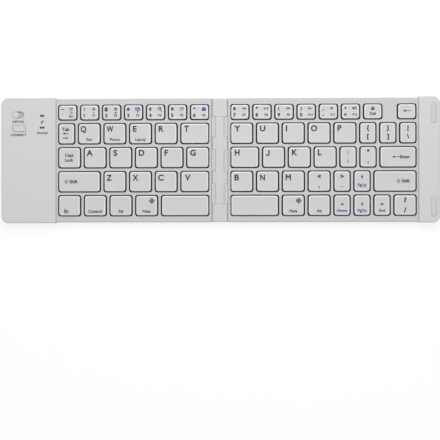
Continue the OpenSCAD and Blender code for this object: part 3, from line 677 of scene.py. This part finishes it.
def film_of(curve, weight):
    """Points and faces of a filled curve with a little thickness, its doubles merged. The bevel
    adds a border of that weight all round, which makes every stroke bolder."""
    curve.extrude = FILM_HALF
    curve.bevel_depth = weight
    curve.bevel_resolution = 0
    holder = bpy.data.objects.new("ink", curve)
    scene.collection.objects.link(holder)
    graph = bpy.context.evaluated_depsgraph_get()
    mesh = bpy.data.meshes.new_from_object(holder.evaluated_get(graph))
    work = bmesh.new()
    work.from_mesh(mesh)
    bmesh.ops.remove_doubles(work, verts=work.verts, dist=WELD)
    bmesh.ops.recalc_face_normals(work, faces=work.faces)
    points = np.array([v.co for v in work.verts]).reshape(-1, 3)
    faces = [[v.index for v in face.verts] for face in work.faces]
    work.free()
    bpy.data.objects.remove(holder)
    bpy.data.curves.remove(curve)
    bpy.data.meshes.remove(mesh)
    return points, faces


def text_film(text, weight):
    """A text as film, at the font's own size."""
    curve = bpy.data.curves.new("word", "FONT")
    curve.body = text
    curve.resolution_u = 4
    return film_of(curve, weight)


def word(text, height, weight=None):
    """A word as film, in millimetres, centred on its middle; height is that of a capital. A
    small single character is bolder than a word, and a very wide one is narrowed."""
    if weight is None:
        small = len(text) == 1 and height < SMALL_PRINT
        weight = SMALL_WEIGHT if small else WORD_WEIGHT
    points, faces = text_film(text, weight)
    points[:, :2] *= height / CAPITAL
    x = points[:, 0]
    points[:, 0] -= (x.min() + x.max()) / 2
    if len(text) == 1:
        points[:, 0] *= min(1, WIDEST * height / np.ptp(points[:, 0]))
    points[:, 1] -= height / 2
    return points, faces


def sign(outlines, size=1.0):
    """A sign as film from outlines in millimetres; an outline inside another is a hole."""
    curve = bpy.data.curves.new("sign", "CURVE")
    curve.dimensions = "2D"
    curve.fill_mode = "BOTH"
    for outline in outlines:
        spline = curve.splines.new("POLY")
        spline.points.add(len(outline) - 1)
        flat = np.column_stack([outline * size, np.zeros(len(outline)), np.ones(len(outline))])
        spline.points.foreach_set("co", flat.ravel())
        spline.use_cyclic_u = True
    return film_of(curve, SIGN_WEIGHT)


def laid(film, x, y, surface):
    """The film moved to x, y in metres, each point just above or below the surface there."""
    points, faces = film
    place = points[:, :2] * MM + [x, y]
    offset = np.where(points[:, 2] > 0, INK_ABOVE, -INK_BELOW)
    return np.column_stack([place, surface(place[:, 0], place[:, 1]) + offset]), faces


CAPITAL = float(np.ptp(text_film("H", 0.0)[0][:, 1]))
print("a capital is", round(CAPITAL, 3), "of the font's size")

# %% [markdown]
# ## Plain outlines
# Arrows, speakers and padlocks could come from a symbol font, but not every machine has one.
# They are built from plain outlines instead, in millimetres, centred where they are placed.

# %% Arcs and turns


def arc(x, y, radius, width, start, end, steps=12):
    """A band along part of a circle: out along its outer side and back along its inner one."""
    angle = np.radians(np.linspace(start, end, steps))
    outer, inner = radius + width / 2, radius - width / 2
    there = np.column_stack([x + outer * np.cos(angle), y + outer * np.sin(angle)])
    back = np.column_stack([x + inner * np.cos(angle[::-1]), y + inner * np.sin(angle[::-1])])
    return np.concatenate([there, back])


def turned(outline, quarter_turns):
    """The outline turned anticlockwise by so many quarter turns."""
    cos, sin = math.cos(quarter_turns * math.pi / 2), math.sin(quarter_turns * math.pi / 2)
    return outline @ np.array([[cos, sin], [-sin, cos]])


print("an arc has", len(arc(0, 0, 1, 0.2, 0, 90)), "corners")

# %% [markdown]
# ## Signs
# Each sign is a list of outlines. They mustn't cross, since a crossing would turn part of the
# film inside out. So a ring with an arrow head is one outline, drawn right round.

# %% The signs


def arrow(length, quarter_turns, head=1.4, line=0.3):
    """An arrow to the right, turned: a thin shaft and a solid head."""
    tip, neck = length / 2, length / 2 - head
    outline = np.array([[-tip, -line / 2], [neck, -line / 2], [neck, -head * 0.45], [tip, 0],
                        [neck, head * 0.45], [neck, line / 2], [-tip, line / 2]])
    return [turned(outline, quarter_turns)]


def hollow_arrow(line=0.22):
    """The shift sign: the outline of a broad arrow upwards, with a smaller one as its hole."""
    def shape(size, low, wings, tip):
        x = np.array([-0.45, 0.45, 0.45, 0.95, 0.0, -0.95, -0.45]) * size
        return np.column_stack([x, [low, low, wings, wings, tip, wings, wings]])
    return [shape(1.0, -0.85, 0.0, 1.0),
            shape(1 - 1.6 * line, -0.85 + line, 0.75 * line, 1 - 1.45 * line)]


def triangle_mark(x, size, way=1):
    """A solid triangle that points right or, with way = -1, left."""
    return np.array([[x - way * size / 2, -size / 2], [x + way * size / 2, 0],
                     [x - way * size / 2, size / 2]])


def speaker(bars=0, cross=False):
    """A loudspeaker with so many sound bars, or struck out."""
    cone = np.array([[-1.1, -0.28], [-0.75, -0.28], [-0.3, -0.7], [-0.3, 0.7], [-0.75, 0.28],
                     [-1.1, 0.28]])
    waves = [arc(-0.4, 0, 0.45 + 0.45 * i, 0.2, -50, 50) for i in range(bars)]
    if cross:
        waves.append(np.array([[0.05, -0.5], [0.25, -0.6], [0.85, 0.5], [0.65, 0.6]]))
    return [cone] + waves


def sun(radius, sign_below=()):
    """A disc with eight short rays, and a smaller sign below it."""
    ray = bar(1.4 * radius, -0.08, 2 * radius, 0.08)
    return [disc(0, 0, radius), *sign_below, *(turned(ray, k / 2) for k in range(8))]


def standing_j():
    """The letter J on the line, 3.6 mm high: a stem whose foot turns left in an arc."""
    return [np.concatenate([[[0.5, 1.8], [1.17, 1.8]], arc(0, -0.7, 0.835, 0.67, 360, 185)])]


def round_arrow():
    """An open ring that ends in an arrow head: out along its outer side, round the head, and
    back along its inner side."""
    band = arc(0, 0, 0.62, 0.26, 70, 350, 20)
    head = [[1.05, -0.1], [0.66, 0.5], [0.2, -0.1]]
    return [np.concatenate([band[:20], head, band[20:]])]


def key_grid():
    """A small keyboard: a frame with two rows of dots and a bar, and an arrowhead below it."""
    dots = [bar(x - 0.12, y - 0.12, x + 0.12, y + 0.12)
            for x in (-0.75, -0.25, 0.25, 0.75) for y in (0.35, 0.0)]
    return [bar(-1.15, -0.75, 1.15, 0.75), bar(-1.0, -0.6, 1.0, 0.6), *dots,
            bar(-0.5, -0.45, 0.5, -0.25),
            np.array([[-0.55, -1.15], [0.55, -1.15], [0.0, -1.75]])]


SIGNS = {way: arrow(2.1, k) for k, way in enumerate(("right", "up", "left", "down"))}
SIGNS |= {
    "J": standing_j(), "turn": round_arrow(),
    "long_left": arrow(5.0, 2, head=1.6, line=0.26), "tab_left": arrow(3.7, 2, head=1.5, line=0.4),
    "tab_right": arrow(3.7, 0, head=1.5, line=0.4), "shift": hollow_arrow(),
    "diamond": [disc(0, 0, 1.0, 4), disc(0, 0, 0.6, 4), disc(0, 0, 0.28)],
    "window": [bar(-0.9, -0.6, 0.9, 0.6), bar(-0.75, -0.45, 0.75, 0.2),
               bar(-0.2, -0.95, 0.2, -0.6)],
    "dim": sun(0.42, [bar(-0.4, -1.75, 0.4, -1.55)]),
    "bright": sun(0.5, [bar(-0.6, -1.8, 0.6, -1.55), bar(-0.13, -1.5, 0.13, -1.25),
                        bar(-0.13, -2.1, 0.13, -1.85)]),
    "keyboard": key_grid(),
    "search": [disc(-0.05, 0.15, 0.75), disc(-0.05, 0.15, 0.42),
               np.array([[0.35, -0.6], [0.6, -0.45], [1.0, -1.2], [0.75, -1.35]])],
    "copy": [bar(-0.9, -0.8, 0.35, 0.4), bar(-0.75, -0.65, 0.2, 0.25), bar(-0.3, 0.5, 0.9, 0.68),
             bar(0.72, -0.4, 0.9, 0.5)],
    "lock": [bar(-0.7, -0.85, 0.7, 0.15), arc(0, 0.2, 0.42, 0.22, 0, 180)],
    "back": [triangle_mark(-0.55, 0.95, -1), triangle_mark(0.45, 0.95, -1)],
    "play": [triangle_mark(-0.6, 1.0), bar(0.2, -0.5, 0.45, 0.5), bar(0.7, -0.5, 0.95, 0.5)],
    "forward": [triangle_mark(-0.45, 0.95), triangle_mark(0.55, 0.95)],
    "mute": speaker(cross=True), "quiet": speaker(1), "loud": speaker(2),
    "battery": [bar(-1.3, -0.62, -0.15, 0.62), bar(0.1, -0.62, 1.1, 0.62),
                bar(1.15, -0.25, 1.35, 0.25)],
    "bolt": [np.array([[0.85, 1.4], [-1.0, -0.42], [-0.25, -0.42], [-0.75, -1.4],
                       [1.0, 0.47], [0.3, 0.47]])],
    "link": [disc(-0.82, 0, 0.7), disc(-0.82, 0, 0.14), disc(0.82, 0, 0.7), disc(0.82, 0, 0.14)],
}
print(len(SIGNS), "signs")

# %% [markdown]
# ## Where each legend goes
# Legends are placed from a cap's own corners in millimetres: x from its left side, or from its
# right side where it is negative, and y from its back. None is the middle. Then comes the height
# of a word or, for a sign, its scale. Plain letters sit in the back left corner, on one line
# whatever their width, so they are listed by their left edge. The fit gives how far each one is
# moved to the right, and the share of its width that is kept. Second functions are printed in
# blue, and everything else is dark.

# %% The legends
LETTER_H = 3.6
LETTER_X, LETTER_Y = 2.1, 3.3
THIRD_ROW_LOWER, J_LOWER = 0.55, 0.35
LETTER_FIT = {"q": (-0.75, 0.88), "w": (-0.6, 1.03), "t": (-0.1, 0.92), "o": (-0.5, 0.98),
              "a": (-0.7, 1.02), "s": (0.1, 1.08), "h": (0.3, 0.92), "j": (-0.2, 1),
              "z": (-0.55, 0.88), "x": (-0.4, 0.88), "c": (-0.45, 1.05), "v": (0.45, 0.94),
              "b": (0.1, 1.06), "n": (0, 0.86), "m": (-0.25, 0.95)}
SIGN_X, SECOND_X = 2.35, 8.6
UPPER_Y, LOWER_Y = 2.4, 6.65
FRONT_Y = 10.1
BLUE = "blue"


def number_key(upper, lower, mark, size, label):
    """A number key: a shifted sign over the digit, and a blue sign over the F number."""
    return [(upper, SIGN_X, UPPER_Y, 1.9), (lower, SIGN_X, LOWER_Y, 2.1),
            ("@" + mark, SECOND_X, UPPER_Y, size, BLUE), (label, SECOND_X, LOWER_Y, 1.5)]


def pair(upper, lower, height=2.6, upper_y=3.2, lower_y=8.6):
    """Two signs one above the other on the middle line."""
    return [(upper, None, upper_y, height), (lower, None, lower_y, height)]


def arrow_key(mark, label, mark_y, label_y):
    """An arrow with its second function below it."""
    return [("@" + mark, None, mark_y, 1.15), (label, None, label_y, 1.85, BLUE)]


META = [("@diamond", -3.5, 3.3, 1.9), ("Meta", None, FRONT_Y, 1.8)]
LEGENDS = {letter: [(letter.upper(), "edge", LETTER_Y + lower, LETTER_H)]
           for letters, lower in (("qwertyuiopasdfghkl", 0), ("zxcvbnm", THIRD_ROW_LOWER))
           for letter in letters}
LEGENDS |= {
    "j": [("@J", "edge", LETTER_Y + J_LOWER, 1)],
    "grave": [("~", SIGN_X, UPPER_Y, 1.9), ("`", SIGN_X, LOWER_Y, 1.9),
              ("@window", 8.2, 2.2, 1.1, BLUE), ("@turn", 8.2, 4.7, 1, BLUE),
              ("Esc", 8.2, LOWER_Y + 0.4, 1.5, BLUE)],
    "delete": [("@lock", None, 2.4, 1.45, BLUE), ("Del", None, 6.0, 1.9)],
    "backspace": [("@long_left", None, 4.3, 1)],
    "tab": [("Tab", 4.6, 3.5, 2.1), ("@tab_left", 4.4, 6.3, 1), ("@tab_right", 4.4, 9.2, 1)],
    "caps_lock": [("Caps", 6.9, 4.7, 1.9), ("Lock", 6.9, 7.9, 1.9)],
    "left_shift": [("@shift", 5.0, None, 1.3), ("Shift", 9.7, None, 2.0)],
    "fn": [("fn", 4.9, 10.0, 2.7, BLUE)], "control": [("Control", None, FRONT_Y, 1.9)],
    "left_alt": [("Alt", None, FRONT_Y, 1.9)], "right_alt": [("Alt", None, FRONT_Y, 1.8)],
    "left_meta": META, "right_meta": META,
    "left_bracket": pair("{", "["), "right_bracket": pair("}", "]"),
    "backslash": pair("|", "\\"), "semicolon": pair(":", ";", 2.3),
    "quote": pair('"', "'", 2.7, lower_y=11.0),
    "comma": pair("<", ",", 2.6, 3.3, 9.0), "period": pair(">", ".", 2.6, 3.3, 9.0),
    "slash": pair("?", "/", 2.9, 3.0, 9.6),
    "enter": [("@long_left", -12.9, None, 1), ("Enter", -7.0, None, 2.0)],
    "up": arrow_key("up", "PgUp", 3.5, 8.9), "left": arrow_key("left", "Home", 5.7, 9.8),
    "down": arrow_key("down", "PgDn", 5.7, 9.8), "right": arrow_key("right", "End", 5.7, 9.8),
    "right_shift": [("@shift", -11.3, None, 1.3), ("Shift", -6.6, None, 2.0)],
}
NUMBER_ROW = zip("1 2 3 4 5 6 7 8 9 0 minus equals".split(), "!@#$%^&*()_+", "1234567890-=",
                 "dim bright keyboard search copy lock back play forward mute quiet loud".split(),
                 (1.4, 1.4, 1.4, 1.5, 1.4, 1.7, 1.4, 1.4, 1.4, 1.4, 1.4, 1.6))
for number, (key, upper, lower, mark, size) in enumerate(NUMBER_ROW, 1):
    LEGENDS[key] = number_key(upper, lower, mark, size, f"F{number}")
for key, device in (("q", "Pad"), ("w", "Phone"), ("e", "Laptop")):
    LEGENDS[key].append((device, None, 10.2, 1.75, BLUE))
print(len(LEGENDS), "caps have legends")

# %% [markdown]
# ## Laying the legends
# A legend could be an object of its own, but there are over a hundred. All legends of one ink in
# a node make one piece, which rides on that node's body.

# %% Every legend on its cap


def cap_legends(name, ink):
    """The films of one cap's legends in one ink, laid on its dished face."""
    low, high = caps[name]
    width, depth = cap_size(low, high)
    middle = centre_of(low, high)

    def face(x, y):
        return high[2] - face_drop(x - middle[0], y - middle[1], width, depth)

    films = []
    for what, x, y, height, *mark in LEGENDS.get(name, []):
        if (BLUE in mark) != (ink == BLUE):
            continue
        if what[0] == "@" and what[1:] in SIGNS:
            shape = sign(SIGNS[what[1:]], height)
        else:
            shape = word(what, height)
        at_y = middle[1] if y is None else high[1] - y * MM
        if x is None:
            at_x = middle[0]
        elif x == "edge":
            shift, share = LETTER_FIT.get(name, (0, 1))
            shape[0][:, 0] *= share
            at_x = low[0] + (LETTER_X + shift - shape[0][:, 0].min()) * MM
        else:
            at_x = (low[0] if x > 0 else high[0]) + x * MM
        films.append(laid(shape, at_x, at_y, face))
    return films


INKS = {"dark": (dark_ink, "legend_black"), BLUE: (blue_ink, "legend_blue")}
for node, names in caps_of_node.items():
    for ink, (material, slot_name) in INKS.items():
        films = [film for name in names for film in cap_legends(name, ink)]
        if films:
            points, faces = merged(films)
            label = "legend_" + node.removeprefix("key_") + ("_blue" if ink == BLUE else "")
            piece(label, points, faces, material, body_of_node[node], slot_name)
print(sum(len(LEGENDS.get(name, [])) for name in caps), "legends")

# %% [markdown]
# ## The left end's print
# The switch, the button and the lights have their names beside them in small capitals, and each
# light its sign, a little off it: battery, charge and link. All are placed from those parts.

# %% Names beside the controls
slot_y = centre_of(*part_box("power_switch_knob"))[1]
button_x, button_y = centre_of(*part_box("connect_button"))
light_low, light_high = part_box("status_lights")
light_x = centre_of(light_low, light_high)[0]
light_r = (light_high.x - light_low.x) / 2
first_y, last_y = light_high.y - light_r, light_low.y + light_r
SIGN_IN, SIGN_UP = 0.15 * MM, 0.25 * MM


def flat_top(x, y):
    """The raised end's level top, for every x and y."""
    return np.full(len(x), wing_top)


PRINTED = [
    (word("OFF/ON", 1.45, 0.03), button_x - 0.7 * MM, slot_y - 4.4 * MM),
    (word("CONNECT", 1.45, 0.035), button_x - 0.4 * MM, button_y - 4.3 * MM),
    (word("STATUS", 1.35, 0.04), light_x, last_y - 3.4 * MM),
    (sign(SIGNS["battery"]), light_x - SIGN_IN, first_y + SIGN_UP),
    (sign(SIGNS["bolt"]), light_x - SIGN_IN, first_y - 3.9 * MM),
    (sign(SIGNS["link"]), light_x - SIGN_IN, last_y + SIGN_UP),
]
points, faces = merged([laid(film, x, y, flat_top) for film, x, y in PRINTED])
piece("control_print", points, faces, dark_ink, "left_half", "legend_black")
print("print", points.min(0).round(4).tolist(), "to", points.max(0).round(4).tolist())

# %% [markdown]
# ## Soft bumpers
# When the keyboard is shut, the raised ends meet on two soft pads. Each is a low pillow: its
# side rises steeply from the housing and its top is nearly level, like a superellipse.

# %% Two pillows
PAD_STEPS = 10
PAD_INNERMOST = 0.12  # the first ring's share of the quarter circle that spaces the rings


def pillow(low, high):
    """A closed pad between two corners. Its rings run from the middle of the top outwards, and
    the height at a share s of the way out is the fourth root of 1 - s to the fourth."""
    width, depth = high[0] - low[0], high[1] - low[1]
    radius = width / 2
    centre = centre_of(low, high)
    rings = []
    for s in np.sin(np.linspace(PAD_INNERMOST, 1, PAD_STEPS) * math.pi / 2):
        inset = (1 - s) * radius
        xy = rounded_outline(width - 2 * inset, depth - 2 * inset, radius - inset)
        z = low[2] + (high[2] - low[2]) * max(1 - s ** 4, 0) ** 0.25
        rings.append(np.column_stack([xy + centre, np.full(len(xy), z)]))
    return closed_rings(np.array(rings), [*centre, high[2]], [*centre, low[2]])


tris = triangles("end_bumpers")
front = tris[:, :, 1].max(1) < 0
pads = [pillow(tris[side].min((0, 1)), tris[side].max((0, 1))) for side in (front, ~front)]
points, faces = merged(pads)
bumpers = piece("bumper_pads", points, faces, pad_rubber, "right_half", "bumper_rubber")
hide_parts("end_bumpers")
print("bumpers", points.min(0).round(4).tolist(), "to", points.max(0).round(4).tolist())

# %% [markdown]
# ## Floor
# The floor is white to the camera, and diffuse under that, so that it still takes a soft
# shadow. That share fades out with the distance, or the far floor would look grey.

# %% The floor
FLOOR_R, FLOOR_SIDES = 6.0, 64
FLOOR_SHADOW = 0.22  # share of the floor's brightness that its shadow can take away
FLOOR_LIGHT = 0.92  # how bright the lamps alone make a white floor
SHADOW_REACH = (0.22, 0.5)  # metres from the middle where that share begins and ends to fade


def white_floor():
    """A pale diffuse floor; to the camera and in gloss most of it, and far away all of it, is
    even white."""
    material, tree, shader = new_material("floor")
    shader.inputs["Roughness"].default_value = 0.9
    rays = tree.nodes.new("ShaderNodeLightPath").outputs
    seen = maths(tree, "MAXIMUM", rays["Is Camera Ray"], rays["Is Glossy Ray"])
    distance = tree.nodes.new("ShaderNodeVectorMath")
    distance.operation = "LENGTH"
    tree.links.new(object_place(tree), distance.inputs[0])
    fade = tree.nodes.new("ShaderNodeMapRange")
    for label, source in (("Value", distance.outputs["Value"]), ("From Min", SHADOW_REACH[0]),
                          ("From Max", SHADOW_REACH[1]), ("To Min", 1), ("To Max", 0)):
        feed(tree, fade.inputs[label], source)
    near = fade.outputs["Result"]
    pale = mixed(tree, noise(tree, object_place(tree), 300.0), grey(228), grey(232))
    shadow = mixed(tree, near, (0, 0, 0, 1), (FLOOR_SHADOW, FLOOR_SHADOW, FLOOR_SHADOW, 1))
    tree.links.new(mixed(tree, seen, pale, shadow), shader.inputs["Base Color"])
    even = mixed(tree, seen, (0, 0, 0, 1), (1, 1, 1, 1))
    tree.links.new(even, shader.inputs["Emission Color"])
    strength = maths(tree, "MULTIPLY_ADD", near, -FLOOR_SHADOW * FLOOR_LIGHT, 1)
    tree.links.new(strength, shader.inputs["Emission Strength"])
    return material


mesh = bpy.data.meshes.new("floor")
floor_ring = np.column_stack([disc(0, 0, FLOOR_R, FLOOR_SIDES), np.zeros(FLOOR_SIDES)])
mesh.from_pydata(floor_ring.tolist(), [], [list(range(FLOOR_SIDES))])
mesh.materials.append(white_floor())
floor = bpy.data.objects.new("floor", mesh)
scene.collection.objects.link(floor)
print("floor", 2 * FLOOR_R, "m across")

# %% [markdown]
# ## Light
# One hard lamp would cut black shadows, so a broad one hangs over the back of the keyboard,
# a weaker one fills in from the front right, and the world gives half-light from all sides. The
# front edge comes out a shade darker than the back.

# %% The light
WORLD_LIGHT = (0.45, 0.45, 0.452, 1)
world = bpy.data.worlds.new("studio")
scene.world = world
world.use_nodes = True
sky = world.node_tree
rays = sky.nodes.new("ShaderNodeLightPath").outputs
seen = maths(sky, "MAXIMUM", rays["Is Camera Ray"], rays["Is Transmission Ray"])
sky.links.new(mixed(sky, seen, WORLD_LIGHT, (1, 1, 1, 1)), sky.nodes["Background"].inputs["Color"])


def softbox(name, size, place, watts):
    """A square lamp of that size at place, turned to face the middle."""
    lamp = bpy.data.lights.new(name, "AREA")
    lamp.shape = "SQUARE"
    lamp.size = size
    lamp.energy = watts
    holder = bpy.data.objects.new(name, lamp)
    scene.collection.objects.link(holder)
    holder.location = place
    pitch = math.atan2(math.hypot(place[0], place[1]), place[2])
    holder.rotation_euler = (pitch, 0, math.atan2(place[0], -place[1]))


softbox("overhead", 0.5, (0.02, 0.36, 0.62), 3.25)
softbox("fill", 1.2, (0.5, -0.9, 0.9), 1.35)
print(len(bpy.data.lights), "lamps")

# %% [markdown]
# ## The camera
# The keyboard fills the frame from side to side and lies above its middle, so the camera stands
# over a point in front of it, and leans a little to the right.

# %% Straight above
CAMERA_DISTANCE = 0.9
SENSOR_W = 36  # mm
VIEW_W = 0.2885  # at the level of the caps
AIM_X, AIM_Y = 0.0001, -0.0394
LEAN_X, LEAN_Y = 0.030, -0.01
ROLL = -0.08  # degrees
camera_data = bpy.data.cameras.new("camera")
camera_data.type = "PERSP"
camera_data.sensor_width = SENSOR_W
camera_data.lens = SENSOR_W * CAMERA_DISTANCE / VIEW_W
camera = bpy.data.objects.new("camera", camera_data)
aim = Vector((AIM_X, AIM_Y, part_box("key_q")[1].z))
camera.location = aim + CAMERA_DISTANCE * Vector((LEAN_X, LEAN_Y, 1)).normalized()
camera.rotation_euler = (-math.atan(LEAN_Y), math.atan(LEAN_X), math.radians(ROLL))
scene.collection.objects.link(camera)
scene.camera = camera
scene.view_settings.view_transform = "Standard"
print("lens", round(camera_data.lens, 1), "mm at", CAMERA_DISTANCE, "m")
